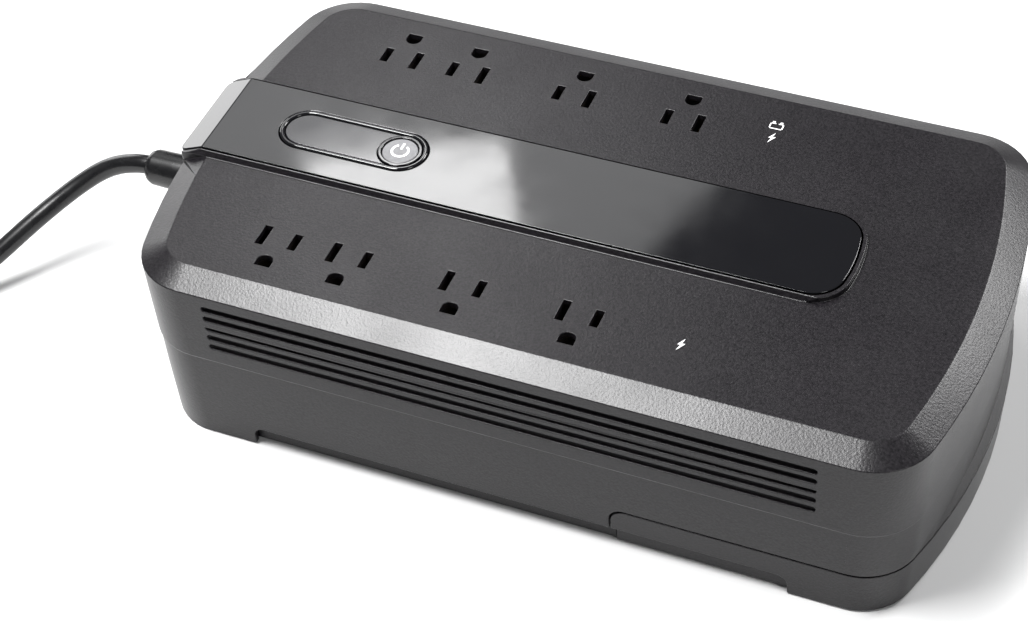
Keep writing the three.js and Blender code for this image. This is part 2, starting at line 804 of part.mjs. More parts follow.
function battery_lead([y, z]) {
  const end = battery_left - 2 * fit_gap - 6.5;
  const side = Math.sign(y);
  const sleeve = block([end - 8, end], [y - 1.6, y + 1.6], [z - 4, z + 4]);
  const lead = tube([
    [end - 4, y, z],
    [end - 12, y - side * 2, z - 2],
    [end - 17, y - side * 9, z - 12],
    [end - 18, y - side * 17, z - 26],
    [end - 19, y - side * 22, board_top + 8],
    [end - 19, y - side * 23, board_top + fit_gap],
  ], 1.9, 8, 14);
  return sleeve.add(solid(lead));
}

// ---------------------------------------------------------------- mains lead
const exit_x = -half_length - relief_length;
const coil_centre = [exit_x + coil_from_exit[0], coil_from_exit[1]];
const turn_pitch = cord_diameter + coil_turn_gap;
const cord_radius = cord_diameter / 2;
const coil_floor = tie_thick + fit_gap;
const coil_roof = coil_floor + cord_diameter + turn_pitch + 0.2;
const coil_inner = coil_radius - coil_spread - cord_radius - 0.1;
const coil_outer = coil_radius + coil_spread + cord_radius + 0.1;
const coil_end_x = coil_centre[0] - coil_radius - coil_spread;
const plug_y = coil_centre[1] + 44;

// Along the cord from the strain relief's tip, which is [0, 0] in X and Y; heights are from the floor.
const cord_route = [
  [-0.4, 0, 46], [-3, 0, 45.9], [-8.1, -0.3, 45], [-15.7, -1.2, 42.6], [-22.7, -3.5, 39.2],
  [-28.7, -7.5, 35.5], [-34, -12.6, 32], [-38.7, -18.4, 28.8], [-43, -24.6, 25.8],
  [-47.2, -30.7, 22.6], [-51.4, -36.8, 19.2], [-55.7, -42.8, 15.8], [-59.9, -48.9, 12.6],
  [-63.8, -55.5, 9.7], [-67.3, -62.4, 7.4], [-70.7, -69.7, 5.9], [-73.9, -77.1, 5.1],
];

function ring(inner, outer, z, chamfer) {
  const profile = [
    [inner + chamfer, z[0]], [outer - chamfer, z[0]], [outer, z[0] + chamfer],
    [outer, z[1] - chamfer], [outer - chamfer, z[1]], [inner + chamfer, z[1]],
    [inner, z[1] - chamfer], [inner, z[0] + chamfer], [inner + chamfer, z[0]],
  ].map(([r, h]) => new THREE.Vector2(r, h));
  const geometry = new THREE.LatheGeometry(profile, 40);
  geometry.rotateX(Math.PI / 2);
  geometry.translate(coil_centre[0], coil_centre[1], 0);
  return solid(geometry);
}

const cord_coil = () => ring(coil_inner, coil_outer, [coil_floor, coil_roof], 2);
const coil_room = () => ring(
  coil_inner - fit_gap, coil_outer + fit_gap, [coil_floor - fit_gap, coil_roof + fit_gap], 2,
);

const power_cord = () => solid(tube(
  cord_route.map(([x, y, z]) => [exit_x + x, y, z]), cord_radius, 10, 30,
)).subtract(coil_room());

const cord_end = () => solid(tube([
  [coil_end_x, coil_centre[1] + 20, coil_floor + cord_radius + turn_pitch],
  [coil_end_x, coil_centre[1] + 32, coil_floor + cord_radius + turn_pitch - 0.4],
  [coil_end_x, plug_y - fit_gap, plug_half_height],
], cord_radius, 10, 6)).subtract(coil_room());

function cord_tie() {
  const half = 4;
  const outer = block(
    [coil_inner - 0.9 - tie_thick, coil_outer + 0.6 + tie_thick],
    [-half, half],
    [coil_floor - fit_gap - tie_thick + 0.1, coil_roof + fit_gap + tie_thick],
  );
  return outer.subtract(block(
    [coil_inner - 0.9, coil_outer + 0.6],
    [-half - 1, half + 1],
    [coil_floor - fit_gap, coil_roof + fit_gap],
  ));
}

function strain_relief() {
  const profile = [
    [0, -7.8], [7.6, -7.8], [7.6, -5], [relief_neck, -5], [relief_neck, 0.5],
    [relief_radius, 0.5], [relief_radius, 3], [relief_tip, relief_length - 3],
    [relief_tip - 1, relief_length - 0.8], [relief_tip - 2, relief_length], [0, relief_length],
  ].map(([r, a]) => new THREE.Vector2(r, a));
  const geometry = new THREE.LatheGeometry(profile, 28);
  geometry.rotateZ(Math.PI / 2);
  geometry.translate(-half_length, 0, cord_height);
  return solid(geometry);
}

// The plug's sections, from the cord's end to the face with the blades.
function plug_body() {
  const sections = [
    [0, cord_radius + 0.9, cord_radius + 0.9, cord_radius + 0.8],
    [14, 6.4, 6.4, 6.3],
    [18, 7.6, 7.2, 6.6],
    [22, 11, 10.4, 6],
    [26, plug_half_width - 1.2, plug_half_height - 0.6, 6],
    [plug_length + 10, plug_half_width - 1.8, plug_half_height - 1.4, 6],
    [plug_length + 16, plug_half_width, plug_half_height - 0.2, 6],
    [plug_length + 20, plug_half_width, plug_half_height - 0.2, 6],
  ];
  return loft(sections.map(([z, half_x, half_y, radius]) => ({
    z, outline: rounded(half_x, half_y, radius).getPoints(5),
  })));
}
const plug_face = plug_length + 20;

const pieces = [];
function node(name, shape, material, place = [0, 0, 0], turn = [0, 0, 0]) {
  const mesh = new THREE.Mesh(surface(shape), material);
  mesh.name = name;
  mesh.position.set(...place);
  mesh.rotation.set(...turn);
  pieces.push(mesh);
  return mesh;
}

const paint = (color, roughness, metalness = 0) => new THREE.MeshStandardMaterial({
  color, roughness, metalness,
});
const case_black = paint(0x2a2a2d, 0.55);
const tray_black = paint(0x1b1b1d, 0.7);
const gloss_black = paint(0x08080a, 0.08);
const smoked = paint(0x141416, 0.06);
const button_silver = paint(0x9a9a9e, 0.35);
const rubber = paint(0x17171a, 0.8);
const brass = paint(0xc9a55a, 0.3, 1);
const steel = paint(0x9c9fa3, 0.35, 1);
const laminated = paint(0x4a4a4c, 0.5, 1);
const copper = paint(0xb06a3a, 0.4, 1);
const board_green = paint(0x1f5a38, 0.55);
const part_black = paint(0x1d1d1f, 0.5);
const relay_blue = paint(0x26478c, 0.45);
const aluminium = paint(0xb4b6b9, 0.4, 1);
const battery_grey = paint(0x55575b, 0.6);
const lead_red = paint(0xa8201c, 0.5);
const jack_grey = paint(0x3a3b3f, 0.5);

node('top_cover', top_cover(), case_black);
node('base_tray', base_tray(), tray_black);
node('battery_door', battery_door(), case_black);
node('gloss_panel', gloss_panel(), gloss_black);
node('status_bezel', status_bezel(), gloss_black);
node('status_window', status_window(), smoked);
node('button_collar', button_collar(), gloss_black);
node('power_button', power_button(), button_silver);
node('control_board', block(
  [pill_x[0] - 2, pill_x[1] + 2], [pill_offset - 17, pill_offset + 17], control_z,
), board_green);
node('power_switch', block(
  [button_x - 4, button_x + 4],
  [pill_offset - 4, pill_offset + 4],
  [control_z[1] + fit_gap, switch_top],
), part_black);
[16, 30].forEach((x, i) => node(`status_led_${i + 1}`, bar(
  'z', control_z[1] + fit_gap, ceiling - 1, [pill_x[0] + x, pill_offset], 2.4, 10,
), smoked));

[[-1, 'front'], [1, 'back']].forEach(([side, row]) => {
  node(`outlet_carrier_${row}`, outlet_carrier(side), part_black);
  node(`hot_bus_${row}`, contact_bus(side, 'hot'), brass);
  node(`neutral_bus_${row}`, contact_bus(side, 'neutral'), brass);
  node(`ground_bus_${row}`, contact_bus(side, 'ground'), brass);
});

jacks.forEach((fact) => node(fact.name, jack(fact), jack_grey));
node('breaker_body', breaker_body(), part_black);
node('breaker_button', breaker_button(), part_black);

node('transformer_core', transformer_core(), laminated);
node('transformer_winding', transformer_winding(), copper);
node('main_board', block(board_x, [-board_y, board_y], [board_height, board_top]), board_green);
[0, 1].forEach((i) => node(`relay_${i + 1}`, block(
  [board_x[0] + 12 + i * 30, board_x[0] + 30 + i * 30],
  [-board_y + 18, -board_y + 37],
  [board_top + fit_gap, board_top + 16],
), relay_blue));
[0, 1].forEach((i) => node(`capacitor_${i + 1}`, bar(
  'z', board_top + fit_gap, board_top + 28, [board_x[0] + 18 + i * 26, -4], 9, 14,
), part_black));
node('heat_sink', heat_sink(), aluminium);
[0, 1].forEach((i) => node(`power_transistor_${i + 1}`, block(
  [board_x[0] + 24 + i * 26, board_x[0] + 40 + i * 26],
  [board_y - 35 - fit_gap - 4.6, board_y - 35 - fit_gap],
  [board_top + 3, board_top + 18],
), part_black));
node('filter_choke', toroid([board_x[1] - 16, 18], 7, 3.2), copper);
node('beeper', bar('z', board_top + fit_gap, board_top + 10, [board_x[1] - 16, -6], 6, 14),
  part_black);
node('battery', battery(), battery_grey);
terminal_places.forEach((place, i) => {
  const name = ['negative', 'positive'][i];
  node(`battery_terminal_${name}`, battery_terminal(place), brass);
  node(`battery_lead_${name}`, battery_lead(place), i ? lead_red : part_black);
});

boss_places.forEach((place, i) => {
  const head = bar('z', tray_lift + 0.2, tray_lift + 2, place, screw_radius + 1.5, 12);
  const shank = bar('z', tray_lift + 1.9, boss_foot + 9, place, screw_radius - 0.1, 10);
  const slots = [[2.2, 0.4], [0.4, 2.2]].map(([dx, dy]) => block(
    [place[0] - dx, place[0] + dx], [place[1] - dy, place[1] + dy], [0, tray_lift + 1.2],
  ));
  node(`case_screw_${i + 1}`, cut(head.add(shank), slots), steel);
});
foot_pads.forEach((place, i) => node(
  `rubber_foot_${i + 1}`, bar('z', 0, pad_height, place, pad_radius, 20), rubber,
));

node('strain_relief', strain_relief(), rubber);
node('power_cord', power_cord(), rubber);
node('cord_coil', cord_coil(), rubber);
node('cord_end', cord_end(), rubber);
node('cord_tie', cord_tie(), rubber, [coil_centre[0], coil_centre[1], 0], [0, 0, -2.2]);
node('plug_body', plug_body(), rubber,
  [coil_end_x, plug_y, plug_half_height], [-Math.PI / 2, 0, 0]);
[[-1, 'hot'], [1, 'neutral']].forEach(([way, name]) => node(`plug_blade_${name}`, block(
  [coil_end_x + (way * blade_pitch) / 2 - 0.75, coil_end_x + (way * blade_pitch) / 2 + 0.75],
  [plug_y + plug_face + fit_gap, plug_y + plug_face + 17.5],
  [plug_half_height + 0.6, plug_half_height + 6.9],
), brass));
node('plug_ground_pin', bar(
  'y', plug_y + plug_face + fit_gap, plug_y + plug_face + 20.5,
  [coil_end_x, plug_half_height - 7], 2.4, 12,
), brass);

const unit = new THREE.Group();
unit.position.x = centre_shift;
unit.add(...pieces);
export default unit;
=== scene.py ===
"""The looks of a desktop uninterruptible power supply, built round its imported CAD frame.

Lengths are in metres in the row frame: +X runs to the battery door, +Y to the back outlet row, and Z = 0
is the surface that the unit stands on.
"""

import json
import math

import bmesh
import bpy
from mathutils import Matrix, Vector


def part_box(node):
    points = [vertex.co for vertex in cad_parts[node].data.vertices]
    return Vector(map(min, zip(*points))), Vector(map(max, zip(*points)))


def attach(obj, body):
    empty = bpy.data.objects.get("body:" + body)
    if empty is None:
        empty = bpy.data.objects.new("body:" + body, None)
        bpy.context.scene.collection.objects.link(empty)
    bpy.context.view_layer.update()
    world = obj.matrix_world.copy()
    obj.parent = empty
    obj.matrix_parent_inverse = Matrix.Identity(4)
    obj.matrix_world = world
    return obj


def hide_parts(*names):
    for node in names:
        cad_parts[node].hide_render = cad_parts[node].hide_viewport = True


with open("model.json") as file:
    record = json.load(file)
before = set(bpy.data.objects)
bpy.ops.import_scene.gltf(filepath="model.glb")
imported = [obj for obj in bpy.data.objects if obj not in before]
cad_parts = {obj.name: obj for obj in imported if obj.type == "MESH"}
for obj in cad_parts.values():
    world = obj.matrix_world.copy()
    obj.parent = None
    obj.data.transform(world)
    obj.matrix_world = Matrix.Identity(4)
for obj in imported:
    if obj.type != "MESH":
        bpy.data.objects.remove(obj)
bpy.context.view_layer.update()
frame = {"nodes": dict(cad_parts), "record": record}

MM = 0.001
CASE = "case"
NODE_BODY = {
    node: body
    for body, nodes in frame["record"]["behaviour"]["bodies"].items()
    for node in nodes
}


# ---------------------------------------------------------------- camera
CAMERA_PLACE = Vector((231.4, -568.4, 649.7)) * MM
CAMERA_AZIMUTH = math.radians(24.93)
CAMERA_ELEVATION = math.radians(45.39)
CAMERA_ROLL = math.radians(-4.05)
CAMERA_LENS = 79.21


def make_camera():
    data = bpy.data.cameras.new("camera")
    data.lens = CAMERA_LENS
    data.sensor_width = 36.0
    data.clip_start = 0.01
    camera = bpy.data.objects.new("camera", data)
    back = Vector((
        math.sin(CAMERA_AZIMUTH) * math.cos(CAMERA_ELEVATION),
        -math.cos(CAMERA_AZIMUTH) * math.cos(CAMERA_ELEVATION),
        math.sin(CAMERA_ELEVATION),
    ))
    level = Vector((math.cos(CAMERA_AZIMUTH), math.sin(CAMERA_AZIMUTH), 0.0))
    upright = back.cross(level)
    right = level * math.cos(CAMERA_ROLL) + upright * math.sin(CAMERA_ROLL)
    up = back.cross(right)
    turn = Matrix((right, up, back)).transposed().to_4x4()
    camera.matrix_world = Matrix.Translation(CAMERA_PLACE) @ turn
    bpy.context.scene.collection.objects.link(camera)
    bpy.context.scene.camera = camera


make_camera()


# ---------------------------------------------------------------- mesh helpers
def new_object(name, data, body):
    piece = bpy.data.objects.new(name, data)
    bpy.context.scene.collection.objects.link(piece)
    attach(piece, body)
    return piece


def mesh_object(name, bm, body, material, sharp=35.0):
    """Turns a bmesh into a piece, shaded smooth except where faces meet at more than sharp degrees."""
    mesh = bpy.data.meshes.new(name)
    bm.to_mesh(mesh)
    bm.free()
    mesh.shade_smooth()
    mesh.set_sharp_from_angle(angle=math.radians(sharp))
    mesh.materials.append(material)
    return new_object(name, mesh, body)


def slot_of(node):
    for entry in frame["record"]["subparts"]:
        if entry["node"] == node:
            return entry["material_slot"]
    raise ValueError(node)


WELD_WITHIN = 0.03 * MM
FLAT_WITHIN = math.radians(0.6)


def refined(node, material, round_off=0.35, sharp=18.0, segments=2):
    """Stands for a CAD node with the same surface, its hard edges rounded off by round_off millimetres.

    A hard edge is one where faces meet at more than sharp degrees.
    """
    bm = bmesh.new()
    bm.from_mesh(frame["nodes"][node].data)
    bmesh.ops.remove_doubles(bm, verts=bm.verts, dist=WELD_WITHIN)
    bmesh.ops.dissolve_limit(bm, angle_limit=FLAT_WITHIN, verts=bm.verts, edges=bm.edges)
    plain = bpy.data.meshes.new(node + "_plain")
    bm.to_mesh(plain)
    bm.free()
    plain.shade_smooth()
    holder = bpy.data.objects.new(node + "_plain", plain)
    bpy.context.scene.collection.objects.link(holder)
    bevel = holder.modifiers.new("round_off", "BEVEL")
    bevel.width = round_off * MM
    bevel.segments = segments
    bevel.limit_method = "ANGLE"
    bevel.angle_limit = math.radians(sharp)
    bevel.use_clamp_overlap = False
    holder.modifiers.new("flat_faces_first", "WEIGHTED_NORMAL")
    rounded = bpy.data.meshes.new_from_object(
        holder.evaluated_get(bpy.context.evaluated_depsgraph_get())
    )
    bpy.data.objects.remove(holder)
    bpy.data.meshes.remove(plain)
    rounded.materials.clear()
    rounded.materials.append(material)
    piece = new_object(node + "_finished", rounded, NODE_BODY[node])
    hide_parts(node)
    return piece


# ---------------------------------------------------------------- material helpers
class Shader:
    """A material with a Principled shader, and short calls for the nodes that feed it."""

    def __init__(self, name, color, roughness, metallic=0.0):
        self.material = bpy.data.materials.new(name)
        self.material.use_nodes = True
        self.tree = self.material.node_tree
        self.surface = self.tree.nodes["Principled BSDF"]
        self.surface.inputs["Base Color"].default_value = (*color, 1.0)
        self.surface.inputs["Roughness"].default_value = roughness
        self.surface.inputs["Metallic"].default_value = metallic
        self.place = self.tree.nodes.new("ShaderNodeTexCoord").outputs["Object"]

    def link(self, source, target):
        self.tree.links.new(source, target)

    def noise(self, per_metre, detail=2.0, roughness=0.5):
        node = self.tree.nodes.new("ShaderNodeTexNoise")
        node.inputs["Scale"].default_value = per_metre
        node.inputs["Detail"].default_value = detail
        node.inputs["Roughness"].default_value = roughness
        self.link(self.place, node.inputs["Vector"])
        return node.outputs["Fac"]

    def scaled(self, value, low, high, spread=(0.3, 0.7)):
        node = self.tree.nodes.new("ShaderNodeMapRange")
        self.link(value, node.inputs["Value"])
        node.inputs["From Min"].default_value = spread[0]
        node.inputs["From Max"].default_value = spread[1]
        node.inputs["To Min"].default_value = low
        node.inputs["To Max"].default_value = high
        return node.outputs["Result"]

    def rough(self, value):
        self.link(value, self.surface.inputs["Roughness"])
        return self

    def tint(self, value, low, high):
        node = self.tree.nodes.new("ShaderNodeMix")
        node.data_type = "RGBA"
        node.inputs["A"].default_value = (*low, 1.0)
        node.inputs["B"].default_value = (*high, 1.0)
        self.link(value, node.inputs["Factor"])
        self.link(node.outputs["Result"], self.surface.inputs["Base Color"])
        return self

    def bump(self, layers):
        """layers: (height value, depth in millimetres) pairs, the coarse ones first."""
        normal = None
        for value, depth in layers:
            node = self.tree.nodes.new("ShaderNodeBump")
            node.inputs["Strength"].default_value = 1.0
            node.inputs["Distance"].default_value = depth * MM
            self.link(value, node.inputs["Height"])
            if normal:
                self.link(normal, node.inputs["Normal"])
            normal = node.outputs["Normal"]
        self.link(normal, self.surface.inputs["Normal"])
        return self


def spark_plastic(name, dark, light, roughness, grain=0.09):
    """Moulded plastic with a fine spark-eroded grain, as on a textured appliance case."""
    shader = Shader(name, dark, roughness)
    fine = shader.noise(1100.0, detail=3.0, roughness=0.6)
    broad = shader.noise(28.0, detail=2.0)
    shader.tint(shader.scaled(fine, 0.0, 1.0), dark, light)
    shader.rough(shader.scaled(broad, roughness - 0.03, roughness + 0.03))
    shader.bump([(fine, grain)])
    shader.surface.inputs["IOR"].default_value = 1.38
    return shader.material


def gloss_plastic(name, color, roughness=0.05, wave=0.0015):
    shader = Shader(name, color, roughness)
    shader.rough(shader.scaled(shader.noise(60.0, detail=4.0), roughness, roughness + 0.05))
    shader.bump([(shader.noise(45.0, detail=1.0), wave)])
    return shader.material


def plain_plastic(name, color, roughness=0.5, grain=0.02):
    shader = Shader(name, color, roughness)
    fine = shader.noise(900.0, detail=3.0)
    lighter = tuple(min(1.0, value * 1.25 + 0.004) for value in color)
    shader.tint(shader.scaled(fine, 0.0, 1.0), color, lighter)
    shader.rough(shader.scaled(shader.noise(80.0), roughness - 0.06, roughness + 0.06))
    shader.bump([(fine, grain)])
    return shader.material


def metal(name, color, roughness=0.3, grain=0.01):
    shader = Shader(name, color, roughness, metallic=1.0)
    shader.rough(shader.scaled(shader.noise(260.0, detail=4.0), roughness - 0.08, roughness + 0.12))
    shader.bump([(shader.noise(700.0, detail=2.0), grain)])
    return shader.material


case_plastic = spark_plastic("case_plastic", (0.0015, 0.0012, 0.002), (0.014, 0.0125, 0.0145), 0.31)
# Painted shade: the tray's plastic is darker than the case's (grain colour up to 0.009 against 0.014) to
# stand in for the shade in the recess under the arch of the lower wall.
tray_plastic = spark_plastic("tray_plastic", (0.0015, 0.0012, 0.002), (0.009, 0.008, 0.0095), 0.4)
panel_gloss = gloss_plastic("panel_gloss", (0.004, 0.004, 0.005))
window_smoked = gloss_plastic("window_smoked", (0.012, 0.012, 0.014), roughness=0.07)
button_silver = plain_plastic("button_silver", (0.13, 0.13, 0.135), 0.36, grain=0.004)
lead_rubber = plain_plastic("lead_rubber", (0.003, 0.003, 0.0035), 0.26, grain=0.006)
foot_rubber = plain_plastic("foot_rubber", (0.02, 0.02, 0.021), 0.75, grain=0.05)
white_print = plain_plastic("white_print", (0.78, 0.78, 0.78), 0.55, grain=0.004)
part_black = plain_plastic("part_black", (0.012, 0.012, 0.013), 0.45)
contact_brass = metal("contact_brass", (0.74, 0.55, 0.24), 0.28)
plug_brass = metal("plug_brass", (0.68, 0.64, 0.52), 0.24)
screw_steel = metal("screw_steel", (0.52, 0.52, 0.54), 0.32)
core_steel = metal("core_steel", (0.18, 0.18, 0.19), 0.45, grain=0.06)
winding_copper = metal("winding_copper", (0.55, 0.25, 0.11), 0.35, grain=0.09)
sink_aluminium = metal("sink_aluminium", (0.66, 0.67, 0.69), 0.36)
board_green = plain_plastic("board_green", (0.015, 0.10, 0.04), 0.4, grain=0.015)
relay_blue = plain_plastic("relay_blue", (0.02, 0.06, 0.26), 0.4)
battery_case = plain_plastic("battery_case", (0.09, 0.095, 0.105), 0.5)
lead_red = plain_plastic("lead_red", (0.40, 0.02, 0.015), 0.4, grain=0.006)
led_clear = gloss_plastic("led_clear", (0.45, 0.47, 0.45), roughness=0.12)

SLOT_MATERIALS = {
    "case_plastic": case_plastic,
    "tray_plastic": tray_plastic,
    "panel_gloss": panel_gloss,
    "window_smoked": window_smoked,
    "button_silver": button_silver,
    "lead_rubber": lead_rubber,
    "foot_rubber": foot_rubber,
    "part_black": part_black,
    "contact_brass": contact_brass,
    "plug_brass": plug_brass,
    "screw_steel": screw_steel,
    "core_steel": core_steel,
    "winding_copper": winding_copper,
    "sink_aluminium": sink_aluminium,
    "board": board_green,
    "relay_blue": relay_blue,
    "battery_case": battery_case,
    "lead_red": lead_red,
    "led_clear": led_clear,
}


# ---------------------------------------------------------------- mains lead
CORD_DIAMETER = 8.0 * MM
TURN_PITCH = 8.2 * MM
COIL_RADIUS = 47.8 * MM          # at the middle of its turns
COIL_POINTS = 24                 # for each turn
COIL_FROM = 22.5                 # degrees clockwise from +X, where the cord meets its first turn
COIL_TO = 1980.0                 # inward along the floor, then outward on top of those turns
TURN_BACK = 30.0                 # degrees over which the spiral eases from inward to outward
CLIMB = 88.0                     # degrees over which the cord climbs to the upper layer

# Along the cord from the strain relief's tip, in millimetres; heights are from the floor.
CORD_ROUTE = [
    (-0.4, 0, 46), (-3, 0, 45.9), (-8.1, -0.3, 45), (-15.7, -1.2, 42.6), (-22.7, -3.5, 39.2),
    (-28.7, -7.5, 35.5), (-34, -12.6, 32), (-38.7, -18.4, 28.8), (-43, -24.6, 25.8),
    (-47.2, -30.7, 22.6), (-51.4, -36.8, 19.2), (-55.7, -42.8, 15.8), (-59.9, -48.9, 12.6),
    (-63.8, -55.5, 9.7), (-67.3, -62.4, 7.4), (-70.7, -69.7, 5.9), (-73.9, -77.1, 5.1),
]
relief_low, relief_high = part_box("strain_relief")
cord_exit = Vector((relief_low.x, 0.0, (relief_low.z + relief_high.z) / 2))
ring_low, ring_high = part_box("cord_coil")
coil_centre = (ring_low + ring_high) / 2
plug_low, plug_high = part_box("plug_body")
LAYER_HEIGHTS = (ring_low.z + CORD_DIAMETER / 2, ring_low.z + CORD_DIAMETER / 2 + TURN_PITCH)


def coil_point(degrees):
    """A point on the coil's line, by degrees clockwise from +X, seen from above."""
    middle = (COIL_FROM + COIL_TO) / 2
    whole = math.hypot((COIL_TO - COIL_FROM) / 2, TURN_BACK) - TURN_BACK
    eased = math.hypot(degrees - middle, TURN_BACK) - TURN_BACK
    radius = COIL_RADIUS + TURN_PITCH * (eased - whole / 2) / 360.0
    share = min(1.0, max(0.0, 0.5 + (degrees - middle) / CLIMB))
    share = share * share * (3.0 - 2.0 * share)
    angle = math.radians(-degrees)
    return Vector((
        coil_centre.x + radius * math.cos(angle),
        coil_centre.y + radius * math.sin(angle),
        LAYER_HEIGHTS[0] + (LAYER_HEIGHTS[1] - LAYER_HEIGHTS[0]) * share,
    ))


def cord_points():
    points = [Vector((cord_exit.x + x * MM, y * MM, z * MM)) for x, y, z in CORD_ROUTE]
    count = round((COIL_TO - COIL_FROM) / 360.0 * COIL_POINTS)
    points += [
        coil_point(COIL_FROM + (COIL_TO - COIL_FROM) * i / count) for i in range(count + 1)
    ]
    last = points[-1]
    plug_middle = (plug_low.z + plug_high.z) / 2
    points += [
        Vector((last.x, last.y + 20 * MM, last.z)),
        Vector((last.x, last.y + 32 * MM, last.z - 0.4 * MM)),
        Vector((last.x, plug_low.y + 2 * MM, plug_middle)),
    ]
    return points


def make_cord():
    points = cord_points()
    curve = bpy.data.curves.new("mains_cord", "CURVE")
    curve.dimensions = "3D"
    curve.resolution_u = 3
    curve.bevel_depth = CORD_DIAMETER / 2
    curve.bevel_resolution = 4
    curve.use_fill_caps = True
    spline = curve.splines.new("BEZIER")
    spline.bezier_points.add(len(points) - 1)
    for knot, place in zip(spline.bezier_points, points):
        knot.co = place
        knot.handle_left_type = "AUTO"
        knot.handle_right_type = "AUTO"
    curve.materials.append(lead_rubber)
    cord = new_object("mains_cord", curve, CASE)
    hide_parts("power_cord", "cord_coil", "cord_end")
    return cord


mains_cord = make_cord()


STRAP_HALF_WIDE = 13.4 * MM      # from the middle of the bundle to the strap's outer face
STRAP_HALF_LENGTH = 4.0 * MM     # along the lead
STRAP_THICK = 0.5 * MM
STRAP_CORNER = 4.0 * MM
STRAP_CORNER_POINTS = 6
STRAP_BELOW_CAD = 0.3 * MM       # how far it stays inside the CAD tie, above and below


def make_tie():
    """A flat strap once round the bundle's section, with rounded corners."""
    tie = frame["nodes"]["cord_tie"]
    middle = sum((vertex.co for vertex in tie.data.vertices), Vector()) / len(tie.data.vertices)
    away = Vector((middle.x - coil_centre.x, middle.y - coil_centre.y, 0.0)).normalized()
    across = Vector((-away.y, away.x, 0.0))
    low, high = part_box("cord_tie")
    half_high = (high.z - low.z) / 2 - STRAP_BELOW_CAD
    bm = bmesh.new()
    rings = []
    corners = [(1, 1, 0), (-1, 1, 90), (-1, -1, 180), (1, -1, 270)]
    for side_x, side_z, start in corners:
        for step in range(STRAP_CORNER_POINTS):
            angle = math.radians(start + step * 90.0 / (STRAP_CORNER_POINTS - 1))
            rings.append((
                side_x * (STRAP_HALF_WIDE - STRAP_CORNER),
                side_z * (half_high - STRAP_CORNER),
                angle,
            ))
    loops = []
    for base_x, base_z, angle in rings:
        loop = []
        for inset, side in ((0, -1), (0, 1), (1, 1), (1, -1)):
            reach = STRAP_CORNER - inset * STRAP_THICK
            local_x = base_x + reach * math.cos(angle)
            local_z = base_z + reach * math.sin(angle)
            place = middle + away * local_x + across * (side * STRAP_HALF_LENGTH)
            place.z = (low.z + high.z) / 2 + local_z
            loop.append(bm.verts.new(place))
        loops.append(loop)
    for k, loop in enumerate(loops):
        after = loops[(k + 1) % len(loops)]
        for j in range(4):
            bm.faces.new((loop[j], loop[(j + 1) % 4], after[(j + 1) % 4], after[j]))
    bmesh.ops.recalc_face_normals(bm, faces=bm.faces)
    strap = mesh_object("tie_strap", bm, CASE, lead_rubber)
    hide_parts("cord_tie")
    return strap


tie_strap = make_tie()
strain_relief = refined("strain_relief", lead_rubber, round_off=0.5, sharp=40.0)
plug_body = refined("plug_body", lead_rubber, round_off=0.6, sharp=40.0)
PLUG_BLADES = ("plug_blade_hot", "plug_blade_neutral", "plug_ground_pin")
LEAD_NODES = {
    "power_cord", "cord_coil", "cord_end", "cord_tie", "strain_relief", "plug_body", *PLUG_BLADES,
}
blades = [refined(node, plug_brass, round_off=0.2, sharp=40.0) for node in PLUG_BLADES]


# ---------------------------------------------------------------- case
SHELLS = {
    "top_cover": 0.35,
    "battery_door": 0.35,
    "base_tray": 0.3,
    "gloss_panel": 0.35,
    "status_window": 0.3,
    "data_port": 0.25,
    "phone_port_in": 0.25,
    "phone_port_out": 0.25,
}
ROUNDED_RINGS = {
    "status_bezel": 0.9,
    "button_collar": 0.35,
}
ROUND_PIECES = {
    "power_button": 0.5,
    "breaker_body": 0.4,
    "breaker_button": 0.5,
    "rubber_foot_1": 0.5,
    "rubber_foot_2": 0.5,
    "rubber_foot_3": 0.5,
    "rubber_foot_4": 0.5,
    "case_screw_1": 0.25,
    "case_screw_2": 0.25,
    "case_screw_3": 0.25,
    "case_screw_4": 0.25,
}
for node, round_off in SHELLS.items():
    refined(node, SLOT_MATERIALS[slot_of(node)], round_off=round_off)
for node, round_off in ROUND_PIECES.items():
    refined(node, SLOT_MATERIALS[slot_of(node)], round_off=round_off, sharp=40.0)
for node, round_off in ROUNDED_RINGS.items():
    refined(node, SLOT_MATERIALS[slot_of(node)], round_off=round_off, sharp=40.0, segments=5)

replaced = LEAD_NODES.union(SHELLS, ROUND_PIECES, ROUNDED_RINGS)
for name, node in frame["nodes"].items():
    if name not in replaced:
        for holder in node.material_slots:
            holder.material = SLOT_MATERIALS[slot_of(name)]


# ---------------------------------------------------------------- printed marks
PRINT_THICK = 0.04 * MM


def printed(name, outlines, z, body, material=white_print):
    """Flat marks on a level face. outlines holds loops of (x, y) points in metres."""
    bm = bmesh.new()
    for outline in outlines:
        face = bm.faces.new([bm.verts.new((x, y, z)) for x, y in outline])
        if face.normal.z < 0:
            face.normal_flip()
        grown = bmesh.ops.extrude_face_region(bm, geom=[face])
        raised = [item for item in grown["geom"] if isinstance(item, bmesh.types.BMVert)]
        bmesh.ops.translate(bm, verts=raised, vec=(0, 0, PRINT_THICK))
    bmesh.ops.recalc_face_normals(bm, faces=bm.faces)
    return mesh_object(name, bm, body, material)


def arc_band(centre, inner, outer, start, end, steps=28):
    angles = [math.radians(start + (end - start) * i / steps) for i in range(steps + 1)]
    outside = [(centre[0] + outer * math.cos(a), centre[1] + outer * math.sin(a)) for a in angles]
    inside = [(centre[0] + inner * math.cos(a), centre[1] + inner * math.sin(a)) for a in angles]
    return outside + inside[::-1]


def rectangle(low, high):
    return [(low[0], low[1]), (high[0], low[1]), (high[0], high[1]), (low[0], high[1])]


